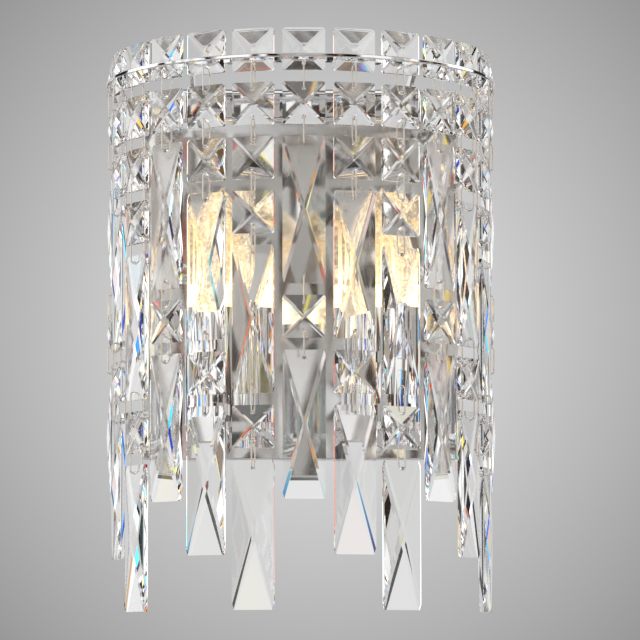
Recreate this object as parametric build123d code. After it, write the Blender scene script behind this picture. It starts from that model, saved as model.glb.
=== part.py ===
"""Half-round crystal wall sconce, in millimetres.

A thin chrome half-ring stands out from a mirror-finished back plate and carries thirteen
hanging strands of cut glass. Two upright candle lamps in chrome cups stand behind the strands.

Frame: the origin is the centre of the back plate's rear face, on the wall. +Z is up and the
front of the sconce looks along -Y. Angles along the ring run from -90 at the left end to +90
at the right end, seen from the front.
"""
from build123d import *
import math
import os

os.makedirs("parts", exist_ok=True)

# ---------------------------------------------------------------- driving dimensions
# Fits
SEAT_GAP = 0.1            # between a piece and the one that it only rests on or stands beside
BORE_CLEARANCE = 0.1      # radial, round a fixed pin, stud or tube

# Cut glass
SQUARE_SIDE = 22.0
PRISM_LENGTH = 76.0
GLASS_THICKNESS = 8.0     # in the middle, where the facets meet
RIM_THICKNESS = 2.0
CORNER_CUT = 0.9          # off the width at each corner
EYE_RADIUS = 1.0
EYE_FROM_END = 4.0
GLASS_GAP = 6.0           # from one piece of a strand to the next

# Wire links
WIRE_RADIUS = 0.4
LINK_WIDTH = 6.8
LINK_CORNER = 1.4

# Ring
RING_RADIUS = 100.0       # to the middle of the glass
RING_FROM_WALL = 14.0
RING_DROP = 2.0           # underside of its squares below the header box's top
SQUARE_GAP = 4.0          # the least along the ring, from one square to the next
RAIL_THICKNESS = 1.2
RAIL_HEIGHT = 2.0
RAIL_EDGE = 0.5           # rounding of its edges
RAIL_RISE = 6.3           # underside of the rails above the underside of the squares
SPACER_CLEARANCE = 0.5    # from a spacer to the squares on each side
SPACER_HEIGHT = 3.2
TAB_THICKNESS = 1.5
TAB_HEIGHT = 6.0
TAB_LIP = 0.5             # how far a tab shows past each rail
SPOKE_THICKNESS = 2.0
SPOKE_INSET = 6.0         # its middle from the end of the header box

# Back plate, the bracket behind it and what joins them
PLATE_WIDTH = 170.0
PLATE_HEIGHT = 200.0
PLATE_DEPTH = 12.0
PLATE_SHEET = 1.2
PLATE_CORNER = 2.0
PLATE_EDGE = 1.0          # rounding where the face turns into the sides
BRACKET_INSET = 12.0      # its ends from the plate's sides
BRACKET_HEIGHT = 22.0
BRACKET_THICKNESS = 2.0
SLOT_SPACING = 76.0
SLOT_LENGTH = 24.0
SLOT_RADIUS = 2.5
STUD_INSET = 11.0         # from the bracket's ends
STUD_RADIUS = 2.0
STUD_LENGTH = 19.0
NUT_RADIUS = 5.0
NUT_LENGTH = 9.0
NUT_DOME = 3.5            # rounding of its front edge
POLE_COUNT = 3
POLE_PITCH = 8.0
POLE_RADIUS = 2.0
BLOCK_HEIGHT = 14.0
BLOCK_DEPTH = 8.0
LEAD_HOLE_RADIUS = 4.0

# Header box under the ring
HEADER_WIDTH = 128.0
HEADER_HEIGHT = 18.0
HEADER_DEPTH = 30.0
HEADER_SHEET = 1.0
HEADER_BEND = 3.0         # outside radius of its folded edges
HEADER_FROM_TOP = 4.0     # its top from the back plate's upper end

# Lamps
LAMP_X = 42.0
LAMP_FROM_WALL = 55.0
CUP_RADIUS = 20.0
CUP_HEIGHT = 60.0
CUP_SHEET = 1.0
ARM_RADIUS = 4.0
ARM_WALL = 0.8
ARM_FROM_EDGE = 8.0       # middle of its level stretch from the back plate's lower end
ARM_DROP = 8.0            # from the cup down to the middle of that stretch
ARM_BEND = 7.0
LOCKNUT_RADIUS = 6.0
LOCKNUT_HEIGHT = 3.0
HOLDER_RADIUS = 12.0
HOLDER_HEIGHT = 30.0
HOLDER_RISE = 24.0        # its underside above the cup's
HOLDER_FLOOR = 4.0
CAP_RADIUS = 6.95
CAP_HEIGHT = 25.0
CAP_THREADED = 17.5       # length of its thread
CAP_PITCH = 2.8
CAP_THREAD = 0.5
CAP_CLEARANCE = 0.25
CONTACT_RADIUS = 3.0
CONTACT_HEIGHT = 2.0
BULB_RADIUS = 17.5
BULB_NECK_RADIUS = 9.0
BULB_HEIGHT = 70.0
BULB_WIDEST = 25.0        # height of the widest place above the neck
BULB_WALL = 0.8
FILAMENT_COUNT = 4
FILAMENT_RADIUS = 0.7
FILAMENT_LENGTH = 34.0
FILAMENT_SPREAD = 5.0
STEM_RADIUS = 2.6
STEM_HEIGHT = 16.0
STEM_DISC = 1.2
STEM_DISC_LIP = 0.6       # disc's rim outside the filaments

# Strands, from the ring down, after the square that stands in the ring.
SHORT = ("square", "prism", "square", "prism")
MEDIUM = ("square",) + SHORT
LONG = ("square",) + MEDIUM
SEQUENCE = (SHORT, MEDIUM, LONG)

# ---------------------------------------------------------------- worked out from them
LENGTHS = {"square": SQUARE_SIDE, "prism": PRISM_LENGTH}
LINK_DROP = GLASS_GAP + 2 * EYE_FROM_END
# The strips between the main facets keep one width from the cut corners to the middle.
STRIP_SHARE = CORNER_CUT / (SQUARE_SIDE / 2)
CROWN = (GLASS_THICKNESS - RIM_THICKNESS) / 2 / (1 - STRIP_SHARE / 2)
HEADER_TOP_Z = PLATE_HEIGHT / 2 - HEADER_FROM_TOP
RING_BOTTOM_Z = HEADER_TOP_Z - RING_DROP
RAIL_Z = RING_BOTTOM_Z + RAIL_RISE
RAIL_TOP_Z = RAIL_Z + RAIL_HEIGHT
# Half the thickness of a standing square where the rails' top edges meet its facets.
SEAT_HALF = (RIM_THICKNESS / 2 + CROWN * (RAIL_TOP_Z - RING_BOTTOM_Z) / (SQUARE_SIDE / 2)
             + SEAT_GAP)
OUTER_RAIL = (RING_RADIUS + SEAT_HALF, RING_RADIUS + SEAT_HALF + RAIL_THICKNESS)
INNER_RAIL = (RING_RADIUS - SEAT_HALF - RAIL_THICKNESS, RING_RADIUS - SEAT_HALF)
# As many strands as the quarter ring takes on each side of the middle one.
STRANDS_PER_SIDE = int(math.radians(90) * RING_RADIUS / (SQUARE_SIDE + SQUARE_GAP))
STRAND_STEP = 90 / STRANDS_PER_SIDE
STRAND_ANGLES = [STRAND_STEP * k for k in range(-STRANDS_PER_SIDE, STRANDS_PER_SIDE + 1)]
SPACER_WIDTH = 2 * (RING_RADIUS * math.tan(math.radians(STRAND_STEP / 2))
                    - SQUARE_SIDE / 2 - SPACER_CLEARANCE)
SPOKE_X = HEADER_WIDTH / 2 - SPOKE_INSET
PLATE_FRONT = -PLATE_DEPTH
BRACKET_LENGTH = PLATE_WIDTH - 2 * BRACKET_INSET
STUD_X = BRACKET_LENGTH / 2 - STUD_INSET
BLOCK_LENGTH = POLE_COUNT * POLE_PITCH
CUP_AT = [(side * LAMP_X, -LAMP_FROM_WALL) for side in (-1, 1)]
ARM_Z = ARM_FROM_EDGE - PLATE_HEIGHT / 2
CUP_BOTTOM_Z = ARM_Z + ARM_DROP
HOLDER_Z = CUP_BOTTOM_Z + HOLDER_RISE
CAP_Z = HOLDER_Z + HOLDER_FLOOR + CONTACT_HEIGHT + SEAT_GAP
BULB_Z = CAP_Z + CAP_HEIGHT


# ---------------------------------------------------------------- helpers
def save(name, solids):
    """Write one node: a piece, or a group of separate like pieces."""
    parts = [s for shape in solids for s in shape.solids()]
    node = parts[0] if len(parts) == 1 else Compound(children=parts)
    export_step(node, os.path.join("parts", name + ".step"))


def on_ring(angle):
    """Location of the ring's radius at an angle: X along the ring, -Y outwards."""
    return Pos(0, -RING_FROM_WALL, 0) * Rot(0, 0, angle) * Pos(0, -RING_RADIUS, 0)


def along_y(radius, length):
    """Cylinder from y = 0 to y = -length."""
    return Rot(90, 0, 0) * Cylinder(radius, length, align=(Align.CENTER, Align.CENTER, Align.MIN))


def upright(radius, height):
    """Cylinder from z = 0 upwards."""
    return Cylinder(radius, height, align=(Align.CENTER, Align.CENTER, Align.MIN))


def block(x_size, y_size, z_size, centre):
    return Pos(*centre) * Box(x_size, y_size, z_size)


# ---------------------------------------------------------------- glass and links
def cut_glass(kind, eyes):
    """A flat piece with its top edge at z = 0. On each side its four main facets are parted by
    narrow strips that run from the cut corners to the middle."""
    half_width, half_height = SQUARE_SIDE / 2, LENGTHS[kind] / 2
    far, near = 1 - STRIP_SHARE, STRIP_SHARE
    # Shares of the half width and half height from the middle, clockwise from the right.
    corners = [(1, far), (1, -far), (far, -1), (-far, -1), (-1, -far), (-1, far), (-far, 1), (far, 1)]
    tips = [(near, 0), (0, -near), (-near, 0), (0, near)]

    def face(points):
        placed = [(u * half_width, y, (v - 1) * half_height) for u, v, y in points]
        return Face(Wire.make_polygon(placed, close=True))

    rim = RIM_THICKNESS / 2
    faces = []
    for (ua, va), (ub, vb) in zip(corners, corners[1:] + corners[:1]):
        faces.append(face([(ua, va, -rim), (ub, vb, -rim), (ub, vb, rim), (ua, va, rim)]))
    for side in (-1, 1):
        outline = [(u, v, side * rim) for u, v in corners]
        peaks = [(u, v, side * (rim + CROWN * far)) for u, v in tips]
        middle = (0, 0, side * GLASS_THICKNESS / 2)
        for index, peak in enumerate(peaks):
            first, second = outline[2 * index:2 * index + 2]
            third = outline[(2 * index + 2) % len(outline)]
            faces.append(face([first, second, peak]))
            faces.append(face([second, third, peaks[(index + 1) % len(peaks)], middle, peak]))
    glass = Solid(Shell(faces))
    heights = {"top": -EYE_FROM_END, "bottom": EYE_FROM_END - LENGTHS[kind]}
    for eye in eyes:
        drill = Rot(90, 0, 0) * Cylinder(EYE_RADIUS, 2 * GLASS_THICKNESS)
        glass -= Pos(0, 0, heights[eye]) * drill
    return glass


def wire_link():
    """A closed loop across the glass: upper bar at z = 0, lower bar at z = -LINK_DROP."""
    frame = Plane.YZ * Pos(0, -LINK_DROP / 2) * RectangleRounded(LINK_WIDTH, LINK_DROP, LINK_CORNER)
    path = frame.face().outer_wire()
    section = Plane(origin=path @ 0, z_dir=path % 0) * Circle(WIRE_RADIUS)
    return sweep(section, path=path)


def make_strands():
    """Each strand has its upper glass, its links and the last prism, which hangs by itself."""
    link = wire_link()
    middle = {kind: cut_glass(kind, ("top", "bottom")) for kind in LENGTHS}
    last = cut_glass("prism", ("top",))
    for number, angle in enumerate(STRAND_ANGLES, start=1):
        sequence = SEQUENCE[(number - 1) % len(SEQUENCE)]
        place = on_ring(angle)
        z = RING_BOTTOM_Z
        glass, links = [], []
        for index, kind in enumerate(sequence):
            links.append(place * Pos(0, 0, z + EYE_FROM_END) * link)
            z -= GLASS_GAP
            if index < len(sequence) - 1:
                glass.append(place * Pos(0, 0, z) * middle[kind])
                z -= LENGTHS[kind]
        save(f"strand_{number:02d}_glass", glass)
        save(f"strand_{number:02d}_links", links)
        save(f"strand_{number:02d}_end_prism", [place * Pos(0, 0, z) * last])


# ---------------------------------------------------------------- ring
def make_rail(radii):
    """Half-ring strip with rounded edges, whose ends run straight back to the tabs at the wall."""
    centre = (-sum(radii) / 2, RAIL_Z + RAIL_HEIGHT / 2)
    section = Plane.XZ * Pos(*centre) * RectangleRounded(RAIL_THICKNESS, RAIL_HEIGHT, RAIL_EDGE)
    leg = extrude(section, RING_FROM_WALL - TAB_THICKNESS, dir=(0, 1, 0))
    strip = revolve(section, Axis.Z, 180) + leg + mirror(leg, about=Plane.YZ)
    return Pos(0, -RING_FROM_WALL, 0) * strip


def make_spacers():
    """Blocks between the two rails, one in each gap between squares, hanging below the rails."""
    top = RAIL_TOP_Z - RAIL_EDGE
    between = upright(OUTER_RAIL[0], SPACER_HEIGHT) - upright(INNER_RAIL[1], SPACER_HEIGHT)
    between = Pos(0, -RING_FROM_WALL, top - SPACER_HEIGHT) * between
    spacers = []
    for angle in STRAND_ANGLES[:-1]:
        bar = block(SPACER_WIDTH, 2 * (OUTER_RAIL[0] - INNER_RAIL[1]), SPACER_HEIGHT,
                    (0, 0, top - SPACER_HEIGHT / 2))
        spacers.append((on_ring(angle + STRAND_STEP / 2) * bar) & between)
    return spacers


def make_ring():
    save("outer_rail", [make_rail(OUTER_RAIL)])
    save("inner_rail", [make_rail(INNER_RAIL)])
    save("rail_spacers", make_spacers())
    standing = cut_glass("square", ("bottom",))
    top_z = RING_BOTTOM_Z + SQUARE_SIDE
    save("ring_squares", [on_ring(angle) * Pos(0, 0, top_z) * standing for angle in STRAND_ANGLES])

    tab_width = OUTER_RAIL[1] - INNER_RAIL[0] + 2 * TAB_LIP
    tab_centre = (RING_RADIUS, -TAB_THICKNESS / 2, RAIL_Z + RAIL_HEIGHT / 2)
    tab = block(tab_width, TAB_THICKNESS, TAB_HEIGHT, tab_centre)
    save("rail_end_tabs", [mirror(tab, about=Plane.YZ), tab])

    # Flat spokes lie on the header box and butt against the inside of the inner rail.
    spoke_height = RAIL_TOP_Z - HEADER_TOP_Z
    reach = RING_FROM_WALL + math.sqrt(INNER_RAIL[0] ** 2 - (SPOKE_X - SPOKE_THICKNESS / 2) ** 2)
    strip = block(SPOKE_THICKNESS, reach - PLATE_DEPTH, spoke_height,
                  (SPOKE_X, -(reach + PLATE_DEPTH) / 2, HEADER_TOP_Z + spoke_height / 2))
    inside = Pos(0, -RING_FROM_WALL, HEADER_TOP_Z) * upright(INNER_RAIL[0], spoke_height)
    behind = block(2 * INNER_RAIL[0], RING_FROM_WALL, spoke_height,
                   (0, -RING_FROM_WALL / 2, HEADER_TOP_Z + spoke_height / 2))
    spoke = strip & (inside + behind)
    save("ring_spokes", [mirror(spoke, about=Plane.YZ), spoke])


# ---------------------------------------------------------------- wall side
def make_wall_side():
    """Bracket on the wall, pan-shaped back plate over it, and the studs and nuts that join them."""
    studs_at = [side * STUD_X for side in (-1, 1)]
    bracket = block(BRACKET_LENGTH, BRACKET_THICKNESS, BRACKET_HEIGHT, (0, -BRACKET_THICKNESS / 2, 0))
    slot = extrude(SlotOverall(SLOT_LENGTH, 2 * SLOT_RADIUS), 2 * BRACKET_THICKNESS, both=True)
    for side in (-1, 1):
        bracket -= Pos(side * SLOT_SPACING / 2, 0, 0) * Rot(90, 0, 0) * slot
    for x in studs_at:
        bracket -= Pos(x, 0, 0) * along_y(STUD_RADIUS + BORE_CLEARANCE, BRACKET_THICKNESS)
    save("wall_bracket", [bracket])

    hollow = Box(PLATE_WIDTH - 2 * PLATE_SHEET, PLATE_DEPTH, PLATE_HEIGHT - 2 * PLATE_SHEET)
    pan = Box(PLATE_WIDTH, PLATE_DEPTH, PLATE_HEIGHT)
    pan = fillet(pan.edges().filter_by(Axis.Y), PLATE_CORNER)
    pan = fillet(pan.faces().sort_by(Axis.Y)[0].edges(), PLATE_EDGE)
    pan = Pos(0, PLATE_FRONT / 2, 0) * pan - Pos(0, PLATE_FRONT / 2 + PLATE_SHEET, 0) * hollow
    for x in studs_at:
        pan -= Pos(x, 0, 0) * along_y(STUD_RADIUS + BORE_CLEARANCE, PLATE_DEPTH)
    for x, _ in CUP_AT:
        pan -= Pos(x, 0, ARM_Z) * along_y(ARM_RADIUS + BORE_CLEARANCE, PLATE_DEPTH)
    header_z = HEADER_TOP_Z - HEADER_HEIGHT / 2
    pan -= Pos(0, 0, header_z) * along_y(LEAD_HOLE_RADIUS, PLATE_DEPTH)
    save("back_plate", [pan])

    save("mounting_studs", [Pos(x, 0, 0) * along_y(STUD_RADIUS, STUD_LENGTH) for x in studs_at])
    nut_body = fillet(along_y(NUT_RADIUS, NUT_LENGTH).faces().sort_by(Axis.Y)[0].edges(), NUT_DOME)
    nut_body -= along_y(STUD_RADIUS + BORE_CLEARANCE, STUD_LENGTH - PLATE_DEPTH + SEAT_GAP)
    save("cap_nuts", [Pos(x, PLATE_FRONT, 0) * nut_body for x in studs_at])

    terminal = block(BLOCK_LENGTH, BLOCK_DEPTH, BLOCK_HEIGHT,
                     (0, -BRACKET_THICKNESS - BLOCK_DEPTH / 2, 0))
    for pole in range(POLE_COUNT):
        pole_x = (pole - (POLE_COUNT - 1) / 2) * POLE_PITCH
        entry = Pos(pole_x, -BRACKET_THICKNESS - BLOCK_DEPTH / 2, 0)
        terminal -= entry * Cylinder(POLE_RADIUS, 2 * BLOCK_HEIGHT)
    save("terminal_block", [terminal])


def make_header():
    """Folded sheet box on the plate that carries the ring's spokes; its back is open."""
    shell = folded_box(0, HEADER_BEND) - folded_box(HEADER_SHEET, HEADER_BEND - HEADER_SHEET)
    save("header_box", [shell])


def folded_box(inset, bend):
    """The header box drawn in by an inset on all sides but the back, its front edges rounded."""
    depth = HEADER_DEPTH - inset
    box = Box(HEADER_WIDTH - 2 * inset, depth, HEADER_HEIGHT - 2 * inset)
    box = fillet(box.faces().sort_by(Axis.Y)[0].edges(), bend)
    return Pos(0, PLATE_FRONT - depth / 2, HEADER_TOP_Z - HEADER_HEIGHT / 2) * box


# ---------------------------------------------------------------- lamps
def arm_tube():
    """Tube from inside the back plate, forward, then up through the cup to the lampholder."""
    start = (0, PLATE_FRONT + PLATE_SHEET + LOCKNUT_HEIGHT, ARM_Z)
    corner = (0, -LAMP_FROM_WALL, ARM_Z)
    end = (0, -LAMP_FROM_WALL, HOLDER_Z)
    path = FilletPolyline(start, corner, end, radius=ARM_BEND)
    tubes = []
    for radius in (ARM_RADIUS, ARM_RADIUS - ARM_WALL):
        section = Plane(origin=path @ 0, z_dir=path % 0) * Circle(radius)
        tubes.append(sweep(section, path=path))
    return tubes[0] - tubes[1]


def bulb_body(shrink):
    """Candle-shaped body of revolution, its neck at z = 0 and its sides drawn in by shrink."""
    neck = (BULB_NECK_RADIUS - shrink, 0)
    widest = (BULB_RADIUS - shrink, BULB_WIDEST)
    tip = (0, BULB_HEIGHT - shrink)
    outline = [Line((0, 0), neck),
               TangentArc(widest, neck, tangent=(0, -1)),
               TangentArc(widest, tip, tangent=(0, 1)),
               Line(tip, (0, 0))]
    return revolve(Plane.XZ * make_face(outline), Axis.Z)


def make_lamps():
    arm = arm_tube()
    save("lamp_arms", [Pos(x, 0, 0) * arm for x, _ in CUP_AT])

    cup = upright(CUP_RADIUS, CUP_HEIGHT) - Pos(0, 0, CUP_SHEET) * upright(CUP_RADIUS - CUP_SHEET, CUP_HEIGHT)
    cup -= upright(ARM_RADIUS + BORE_CLEARANCE, 2 * CUP_SHEET)
    save("lamp_cups", [Pos(x, y, CUP_BOTTOM_Z) * cup for x, y in CUP_AT])

    locknut = extrude(RegularPolygon(LOCKNUT_RADIUS, 6), LOCKNUT_HEIGHT) - upright(
        ARM_RADIUS + BORE_CLEARANCE, LOCKNUT_HEIGHT)
    save("cup_locknuts", [Pos(x, y, CUP_BOTTOM_Z + CUP_SHEET) * locknut for x, y in CUP_AT])
    behind_plate = Pos(0, PLATE_FRONT + PLATE_SHEET + LOCKNUT_HEIGHT, ARM_Z)
    save("arm_locknuts", [Pos(x, 0, 0) * behind_plate * Rot(90, 0, 0) * locknut for x, _ in CUP_AT])

    holder = Pos(0, 0, HOLDER_Z) * upright(HOLDER_RADIUS, HOLDER_HEIGHT)
    holder -= Pos(0, 0, HOLDER_Z + HOLDER_FLOOR) * upright(CAP_RADIUS + CAP_CLEARANCE, HOLDER_HEIGHT)
    save("lampholders", [Pos(x, y, 0) * holder for x, y in CUP_AT])

    turns = int(CAP_THREADED / CAP_PITCH)
    thread = [(0, 0), (CAP_RADIUS - CAP_THREAD, 0)]
    for turn in range(turns):
        thread.append((CAP_RADIUS, (turn + 0.5) * CAP_PITCH))
        thread.append((CAP_RADIUS - CAP_THREAD, (turn + 1) * CAP_PITCH))
    thread += [(CAP_RADIUS - CAP_THREAD, CAP_HEIGHT), (0, CAP_HEIGHT)]
    cap = revolve(Plane.XZ * make_face(Polyline(*thread, close=True)), Axis.Z)
    cap += Pos(0, 0, -CONTACT_HEIGHT) * upright(CONTACT_RADIUS, CONTACT_HEIGHT)
    save("bulb_caps", [Pos(x, y, CAP_Z) * cap for x, y in CUP_AT])

    glass = bulb_body(0) - Pos(0, 0, BULB_WALL) * bulb_body(BULB_WALL)
    save("bulb_glass", [Pos(x, y, BULB_Z) * glass for x, y in CUP_AT])

    stem = upright(STEM_RADIUS, STEM_HEIGHT)
    top_z = STEM_HEIGHT + FILAMENT_LENGTH
    disc_radius = FILAMENT_SPREAD + FILAMENT_RADIUS + STEM_DISC_LIP
    for z in (STEM_HEIGHT, top_z):
        stem += Pos(0, 0, z) * upright(disc_radius, STEM_DISC)
    for index in range(FILAMENT_COUNT):
        turn = Rot(0, 0, index * 360 / FILAMENT_COUNT)
        stem += turn * Pos(FILAMENT_SPREAD, 0, STEM_HEIGHT) * upright(FILAMENT_RADIUS, FILAMENT_LENGTH)
    save("bulb_filaments", [Pos(x, y, BULB_Z + BULB_WALL) * stem for x, y in CUP_AT])


make_wall_side()
make_header()
make_ring()
make_lamps()
make_strands()
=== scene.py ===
"""Looks of the crystal wall sconce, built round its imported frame. Metres, +Z up, wall at Y = 0."""

import math

import bpy
from mathutils import Euler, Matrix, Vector


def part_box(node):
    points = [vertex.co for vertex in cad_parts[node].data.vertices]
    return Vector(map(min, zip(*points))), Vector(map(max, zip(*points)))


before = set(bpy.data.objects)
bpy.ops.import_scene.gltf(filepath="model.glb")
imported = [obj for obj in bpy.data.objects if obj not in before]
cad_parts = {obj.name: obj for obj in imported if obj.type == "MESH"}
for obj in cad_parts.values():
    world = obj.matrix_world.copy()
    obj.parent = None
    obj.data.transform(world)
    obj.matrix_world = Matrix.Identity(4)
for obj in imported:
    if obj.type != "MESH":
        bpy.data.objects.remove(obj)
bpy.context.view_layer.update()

# ---------------------------------------------------------------- camera and stage
PHOTO_WIDTH = 640
SENSOR_WIDTH = 36.0
CAMERA_AT = Vector((-0.0307, -2.0, -0.2193))
CAMERA_FOCAL_PIXELS = 3720.0
CAMERA_YAW = math.radians(1.17)       # turned to the right
CAMERA_PITCH = math.radians(5.585)    # tipped up
CAMERA_ROLL = math.radians(0.09)
VIEW_LIMIT = 50.0

FLOOR_Z = -1.2
FLOOR_HALF = 2.5
FLOOR_COLOUR = (0.72, 0.72, 0.72, 1)
FLOOR_ROUGHNESS = 0.8

BACKDROP_CENTRE = 0.80                # linear grey behind the middle of the sconce
BACKDROP_EDGE = 0.30
BACKDROP_SPREAD = 0.125               # sine of the angle at which the grey stops falling

# Light passes many facets before it leaves the curtain of glass.
GLASS_BOUNCES = 24
METAL_BOUNCES = 12

# ---------------------------------------------------------------- finishes
GLASS = {"Transmission Weight": 1.0, "Roughness": 0.0}
CRYSTAL_IOR = 1.55

BULB_COLOUR = (1, 0.96, 0.88, 1)
BULB_IOR = 1.45
BULB_GLOW = (1, 0.76, 0.46, 1)
BULB_LINES = 0.04         # light of the crackle's lines
BULB_BODY = 0.20          # light between them
BULB_LINE_WIDTH = (0.02, 0.30)
BULB_NECK_GLOW = 3.0      # times the glow higher up
BULB_NECK_HEIGHT = 0.030  # height above the neck at which the glow no longer falls
CRACKLE_SCALE = 260.0
CRACKLE_BEND = (0.012, 0.012, 0.012)
CRACKLE_BEND_SCALE = 120.0

FILAMENT_LIGHT = 3.0      # at its foot
FILAMENT_TOP_LIGHT = 0.3

CHROME = (0.80, 0.80, 0.81)
LINK_METAL = (0.80, 0.74, 0.67)
PLATE_METAL = (0.78, 0.78, 0.78)
NICKEL = (0.72, 0.70, 0.66)
ZINC = (0.60, 0.61, 0.63)
WHITE_PLASTIC = (0.80, 0.80, 0.77)
CERAMIC = (0.84, 0.83, 0.79)

POLISH_SCALE = 60.0       # of the drift in the roughness of metal
SHEET_SCALE = 25.0
MOULDED_SCALE = 180.0
GRAIN_SCALE = 900.0
GRAIN_STRENGTH = 0.15
GRAIN_DEPTH = 0.0002

# ---------------------------------------------------------------- studio
# What glass and metal see round the sconce: blotches, dim and bright, an even patch in front,
# and screens laid over both in this order.
BLOTCHES = [(0.44, (0.015, 0.013, 0.012)), (0.48, (0.20, 0.11, 0.055)), (0.51, (0.38, 0.34, 0.28)),
            (0.54, (0.70, 0.70, 0.69)), (0.60, (1.3, 1.29, 1.27))]
BLOTCH_SCALE = 5.0
BLOTCH_DISTORTION = 0.6

# The plate mirrors the patch in front.
FRONT_LIGHT = (0.55, 0.53, 0.50, 1)
FRONT_HALF_ANGLE = 15.0
FRONT_SOFTNESS = 3.0
FRONT_FOOT = (-0.12, -0.07)           # sines of the elevations between which it fades in
FRONT_EVENNESS = 0.84                 # the rest is the blotches, showing through

# Shares by which blue turns further than green, and red less, in cut glass.
AZIMUTH_FRINGE = 0.02
ELEVATION_FRINGE = 0.004

WHITE = (1, 1, 1)
# Azimuth from and to, elevation from and to and edge softness, in degrees, then light and colour.
# Azimuth is from straight behind the sconce, to the right. Past 180 a screen reaches the seam.
SCREENS = [
    # Pale wall behind, its left and right parts, and a lighter strip low in the middle
    (-36, 36, -6, 60, 2.0, 0.66, WHITE),
    (-34, -9, -5, 60, 2.0, 0.70, WHITE),
    (9, 36, -5, 60, 2.0, 0.58, WHITE),
    (-9, 9, 5.5, 12, 1.5, 0.80, WHITE),
    # Two dark posts, which show in the narrow strips of the prisms
    (7.6, 9.8, 2.8, 9, 0.3, 0.02, WHITE),
    (-7.6, -5.2, 2.8, 9, 0.3, 0.02, WHITE),
    # Brown soffit in three steps, which shows in the feet of the ring's squares
    (-10, 10, 34.4, 48, 0.15, 0.30, (1, 0.74, 0.55)),
    (-4.5, 4.5, 30.5, 48, 0.1, 0.24, (1, 0.76, 0.56)),
    (-1.6, 1.6, 29.65, 48, 0.15, 0.08, (1, 0.88, 0.75)),
    # Bright panels at both sides, and dark flags between them and the wall
    (-84, -56, -20, 50, 1.5, 1.8, WHITE),
    (60, 84, -15, 55, 1.5, 1.7, WHITE),
    (-55, -37, -40, 70, 1.0, 0.02, WHITE),
    (39, 58, -40, 70, 1.0, 0.03, WHITE),
    # Bright panels in front, to the left and right
    (-150, -128, -5, 55, 2, 1.3, (1, 0.98, 0.95)),
    (126, 146, -8, 50, 2, 1.2, (1, 0.99, 0.97)),
    # Low behind: dark at the left and pale at the right, in the upper facets of the squares
    (-6, 2, -28, -6, 1.0, 0.10, (0.95, 1, 0.93)),
    (2, 12, -28, -6, 1.5, 0.75, (1, 0.98, 0.86)),
    # High in front: a dark band and a bright one above it
    (150, 185, 22, 38, 1.0, 0.04, (1, 0.9, 0.8)),
    (-185, -150, 22, 38, 1.0, 0.04, (1, 0.9, 0.8)),
    (150, 185, 42, 75, 2.0, 1.2, WHITE),
    (-185, -150, 42, 75, 2.0, 1.2, WHITE),
    # Low in front
    (160, 185, -28, -9, 1.0, 0.14, (1, 0.92, 0.84)),
    (-185, -172, -28, -9, 1.0, 0.18, (1, 0.95, 0.9)),
]


# ---------------------------------------------------------------- node helpers
class Tree:
    """Short way to add nodes and links to one node tree."""

    def __init__(self, tree):
        self.tree = tree
        tree.nodes.clear()

    def add(self, kind, inputs=None, **settings):
        """A new node; an input is a socket to link from, or a value."""
        node = self.tree.nodes.new(kind)
        for key, value in settings.items():
            setattr(node, key, value)
        for key, value in (inputs or {}).items():
            self.feed(node.inputs[key], value)
        return node

    def feed(self, socket, value):
        if isinstance(value, bpy.types.NodeSocket):
            self.tree.links.new(value, socket)
        else:
            socket.default_value = value

    def math(self, operation, *values):
        return self.add("ShaderNodeMath", dict(enumerate(values)), operation=operation).outputs[0]

    def vector(self, operation, *values):
        return self.add("ShaderNodeVectorMath", dict(enumerate(values)), operation=operation).outputs[0]

    def dot(self, vector, direction):
        node = self.add("ShaderNodeVectorMath", {0: vector, 1: direction}, operation="DOT_PRODUCT")
        return node.outputs["Value"]

    def smooth(self, value, low, high, to_low=0.0, to_high=1.0):
        """A number's way from low to high, as a smooth step from to_low to to_high."""
        node = self.add("ShaderNodeMapRange", {"Value": value, 1: low, 2: high, 3: to_low, 4: to_high},
                        interpolation_type="SMOOTHSTEP")
        return node.outputs["Result"]

    def smooth_vector(self, value, low, high, to_low=0.0, to_high=1.0):
        """The same for each of a vector's three numbers."""
        inputs = {6: value, 7: (low,) * 3, 8: (high,) * 3, 9: (to_low,) * 3, 10: (to_high,) * 3}
        node = self.add("ShaderNodeMapRange", inputs, data_type="FLOAT_VECTOR",
                        interpolation_type="SMOOTHSTEP")
        return node.outputs[1]

    def height(self):
        """Height of the shaded point in the frame."""
        place = self.add("ShaderNodeTexCoord").outputs["Object"]
        return self.add("ShaderNodeSeparateXYZ", {0: place}).outputs[2]

    def noise(self, scale):
        place = self.add("ShaderNodeTexCoord").outputs["Object"]
        return self.add("ShaderNodeTexNoise", {"Vector": place, "Scale": scale, "Detail": 3.0}).outputs[0]

    def mottled(self, scale, low, high, spread=0.15):
        """A value that drifts between low and high over the surface."""
        return self.smooth(self.noise(scale), 0.5 - spread, 0.5 + spread, low, high)

    def fringed(self, angle, share, strength):
        """The angle as red, green and blue see it after the glass has turned them."""
        change = self.math("MULTIPLY", self.math("MULTIPLY", angle, share), strength)
        turned = {0: self.math("SUBTRACT", angle, change), 1: angle, 2: self.math("ADD", angle, change)}
        return self.add("ShaderNodeCombineXYZ", turned).outputs[0]


def material(name, **principled):
    """A new material with a Principled shader; returns the material, its tree and its shader."""
    mat = bpy.data.materials.new(name)
    mat.use_nodes = True
    tree = Tree(mat.node_tree)
    shader = tree.add("ShaderNodeBsdfPrincipled", principled)
    tree.add("ShaderNodeOutputMaterial", {"Surface": shader.outputs[0]})
    return mat, tree, shader


# ---------------------------------------------------------------- materials
def crystal():
    return material("cut_glass", **GLASS, **{"Base Color": (1, 1, 1, 1), "IOR": CRYSTAL_IOR})[0]


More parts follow.
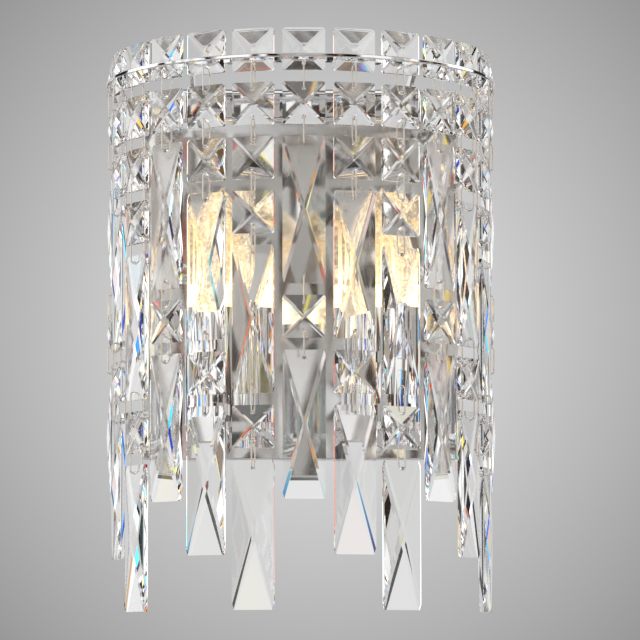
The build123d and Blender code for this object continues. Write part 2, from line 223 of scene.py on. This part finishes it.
def metal(name, colour, low, high):
    """Plated metal whose roughness drifts between low and high."""
    mat, tree, shader = material(name, **{"Base Color": (*colour, 1), "Metallic": 1.0})
    tree.feed(shader.inputs["Roughness"], tree.mottled(POLISH_SCALE, low, high))
    return mat


def plate_finish():
    """Mirror polish on what shows, and dull sheet on the side that faces the wall."""
    mat, tree, shader = material("mirror_plate", **{"Base Color": (*PLATE_METAL, 1), "Metallic": 1.0})
    facing = tree.dot(tree.add("ShaderNodeTexCoord").outputs["Normal"], (0, 1, 0))
    polish = tree.mottled(POLISH_SCALE, 0.06, 0.10)
    dull = tree.mottled(SHEET_SCALE, 0.42, 0.55)
    inside = tree.smooth(facing, 0.6, 0.9)
    change = tree.math("MULTIPLY", inside, tree.math("SUBTRACT", dull, polish))
    tree.feed(shader.inputs["Roughness"], tree.math("ADD", polish, change))
    return mat


def bulb_glass():
    """Lit glass with a fine crackle in it, brightest at its neck."""
    look = {"Base Color": BULB_COLOUR, "IOR": BULB_IOR, "Emission Color": BULB_GLOW}
    mat, tree, shader = material("bulb_glass", **GLASS, **look)
    place = tree.add("ShaderNodeTexCoord").outputs["Object"]
    wander = tree.add("ShaderNodeTexNoise", {"Vector": place, "Scale": CRACKLE_BEND_SCALE, "Detail": 3.0})
    bent = tree.vector("MULTIPLY_ADD", wander.outputs[1], CRACKLE_BEND, place)
    crackle = tree.add("ShaderNodeTexVoronoi", {"Vector": bent, "Scale": CRACKLE_SCALE},
                       feature="DISTANCE_TO_EDGE").outputs["Distance"]
    lines = tree.smooth(crackle, *BULB_LINE_WIDTH, BULB_LINES, BULB_BODY)
    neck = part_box("bulb_glass")[0][2]
    fall = tree.smooth(tree.height(), neck, neck + BULB_NECK_HEIGHT, BULB_NECK_GLOW, 1.0)
    tree.feed(shader.inputs["Emission Strength"], tree.math("MULTIPLY", lines, fall))
    return mat


def filament():
    """Glowing rods, brightest at their feet."""
    mat, tree, shader = material("lit_filament", **{"Base Color": (1, 0.8, 0.5, 1), "Roughness": 0.5,
                                                    "Emission Color": BULB_GLOW})
    foot, top = (corner[2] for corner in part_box("bulb_filaments"))
    light = tree.smooth(tree.height(), foot, top, FILAMENT_LIGHT, FILAMENT_TOP_LIGHT)
    tree.feed(shader.inputs["Emission Strength"], light)
    return mat


def moulded(name, colour, roughness):
    """Plastic or ceramic with a fine grain."""
    mat, tree, shader = material(name, **{"Base Color": (*colour, 1)})
    drift = tree.mottled(MOULDED_SCALE, roughness - 0.05, roughness + 0.05, spread=0.2)
    tree.feed(shader.inputs["Roughness"], drift)
    grain = tree.add("ShaderNodeBump", {"Height": tree.noise(GRAIN_SCALE), "Strength": GRAIN_STRENGTH,
                                        "Distance": GRAIN_DEPTH})
    tree.feed(shader.inputs["Normal"], grain.outputs[0])
    return mat


def dress(nodes, mat):
    for name in nodes:
        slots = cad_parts[name].data.materials
        slots.clear()
        slots.append(mat)


def dress_all():
    strands = [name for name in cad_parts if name.startswith("strand")]
    dress([name for name in strands if not name.endswith("_links")] + ["ring_squares"], crystal())
    dress(["header_box", "outer_rail", "inner_rail", "rail_spacers", "rail_end_tabs", "ring_spokes",
           "cap_nuts", "lamp_arms", "lamp_cups"], metal("bright_chrome", CHROME, 0.03, 0.07))
    dress([name for name in strands if name.endswith("_links")], metal("link_wire", LINK_METAL, 0.03, 0.08))
    dress(["back_plate"], plate_finish())
    dress(["bulb_caps"], metal("nickel", NICKEL, 0.15, 0.25))
    dress(["wall_bracket", "mounting_studs", "arm_locknuts", "cup_locknuts"], metal("zinc", ZINC, 0.30, 0.45))
    dress(["terminal_block"], moulded("white_plastic", WHITE_PLASTIC, 0.45))
    dress(["lampholders"], moulded("holder_ceramic", CERAMIC, 0.35))
    dress(["bulb_glass"], bulb_glass())
    dress(["bulb_filaments"], filament())


# ---------------------------------------------------------------- stage
def blotches(tree, ray):
    """Dim and bright surroundings."""
    cloud = tree.add("ShaderNodeTexNoise", {"Vector": ray, "Scale": BLOTCH_SCALE, "Detail": 2.0,
                                            "Distortion": BLOTCH_DISTORTION}).outputs[0]
    ramp = tree.add("ShaderNodeValToRGB", {"Fac": cloud})
    steps = ramp.color_ramp.elements
    while len(steps) < len(BLOTCHES):
        steps.new(1.0)
    for step, (place, colour) in zip(steps, BLOTCHES):
        step.position = place
        step.color = (*colour, 1)
    return ramp.outputs[0]


def with_front(tree, ray, rise, studio):
    """The studio with the even patch in front of the sconce."""
    edges = [math.cos(math.radians(angle)) for angle in (FRONT_HALF_ANGLE + FRONT_SOFTNESS, FRONT_HALF_ANGLE)]
    front = tree.smooth(tree.dot(ray, (0, -1, 0)), *edges)
    front = tree.math("MULTIPLY", front, tree.smooth(rise, *FRONT_FOOT, 0.0, FRONT_EVENNESS))
    return tree.add("ShaderNodeMix", {0: front, 6: studio, 7: FRONT_LIGHT}, data_type="RGBA").outputs[2]


def with_screens(tree, azimuth, elevation, studio):
    """The studio with every screen laid over it; each angle has a red, a green and a blue value."""
    for left, right, low, high, soft, light, colour in SCREENS:
        sides = [tree.smooth_vector(azimuth, left - soft, left + soft),
                 tree.smooth_vector(azimuth, right - soft, right + soft, 1.0, 0.0),
                 tree.smooth_vector(elevation, low - soft, low + soft),
                 tree.smooth_vector(elevation, high - soft, high + soft, 1.0, 0.0)]
        inside = sides[0]
        for side in sides[1:]:
            inside = tree.vector("MULTIPLY", inside, side)
        change = tree.vector("SUBTRACT", [light * share for share in colour], studio)
        studio = tree.vector("MULTIPLY_ADD", inside, change, studio)
    return studio


def vignette(tree, ray):
    """Grey that falls off round the camera's line of sight, fixed in space."""
    sight = camera_turn().to_matrix() @ Vector((0, 0, -1))
    away = tree.math("SQRT", tree.math("SUBTRACT", 1.0, tree.math("POWER", tree.dot(ray, sight), 2.0)))
    grey = tree.add("ShaderNodeMapRange", {"Value": away, 1: 0.0, 2: BACKDROP_SPREAD,
                                           3: BACKDROP_CENTRE, 4: BACKDROP_EDGE}).outputs["Result"]
    return tree.add("ShaderNodeCombineColor", {0: grey, 1: grey, 2: grey}).outputs[0]


def make_world():
    """Soft studio seen by reflections and glass; the camera itself sees the vignette."""
    world = bpy.data.worlds.new("studio")
    bpy.context.scene.world = world
    world.use_nodes = True
    tree = Tree(world.node_tree)
    light_path = tree.add("ShaderNodeLightPath").outputs
    through_glass = light_path["Is Transmission Ray"]
    ray = tree.add("ShaderNodeTexCoord").outputs["Generated"]
    right, back, rise = tree.add("ShaderNodeSeparateXYZ", {0: ray}).outputs
    azimuth = tree.math("DEGREES", tree.math("ARCTAN2", right, back))
    elevation = tree.math("DEGREES", tree.math("ARCSINE", rise))
    azimuth = tree.fringed(azimuth, AZIMUTH_FRINGE, through_glass)
    elevation = tree.fringed(elevation, ELEVATION_FRINGE, through_glass)
    studio = with_front(tree, ray, rise, blotches(tree, ray))
    studio = with_screens(tree, azimuth, elevation, studio)
    seen = tree.add("ShaderNodeMix", {0: light_path["Is Camera Ray"], 6: studio, 7: vignette(tree, ray)},
                    data_type="RGBA").outputs[2]
    background = tree.add("ShaderNodeBackground", {"Color": seen})
    tree.add("ShaderNodeOutputWorld", {"Surface": background.outputs[0]})


def make_floor():
    mesh = bpy.data.meshes.new("floor")
    turns = [(-1, -1), (1, -1), (1, 1), (-1, 1)]
    corners = [(x * FLOOR_HALF, y * FLOOR_HALF, FLOOR_Z) for x, y in turns]
    mesh.from_pydata(corners, [], [(0, 1, 2, 3)])
    floor = bpy.data.objects.new("floor", mesh)
    bpy.context.scene.collection.objects.link(floor)
    look = {"Base Color": FLOOR_COLOUR, "Roughness": FLOOR_ROUGHNESS}
    mesh.materials.append(material("pale_floor", **look)[0])


def camera_turn():
    return Euler((math.pi / 2 + CAMERA_PITCH, CAMERA_ROLL, -CAMERA_YAW), "XYZ")


def make_camera():
    lens = bpy.data.cameras.new("camera")
    lens.sensor_width = SENSOR_WIDTH
    lens.lens = CAMERA_FOCAL_PIXELS / PHOTO_WIDTH * SENSOR_WIDTH
    lens.clip_end = VIEW_LIMIT
    camera = bpy.data.objects.new("camera", lens)
    camera.location = CAMERA_AT
    camera.rotation_euler = camera_turn()
    bpy.context.scene.collection.objects.link(camera)
    bpy.context.scene.camera = camera


def set_bounces():
    cycles = bpy.context.scene.cycles
    cycles.max_bounces = GLASS_BOUNCES
    cycles.transmission_bounces = GLASS_BOUNCES
    cycles.glossy_bounces = METAL_BOUNCES


bpy.context.scene.view_settings.view_transform = "Standard"
make_camera()
make_world()
make_floor()
dress_all()
set_bounces()
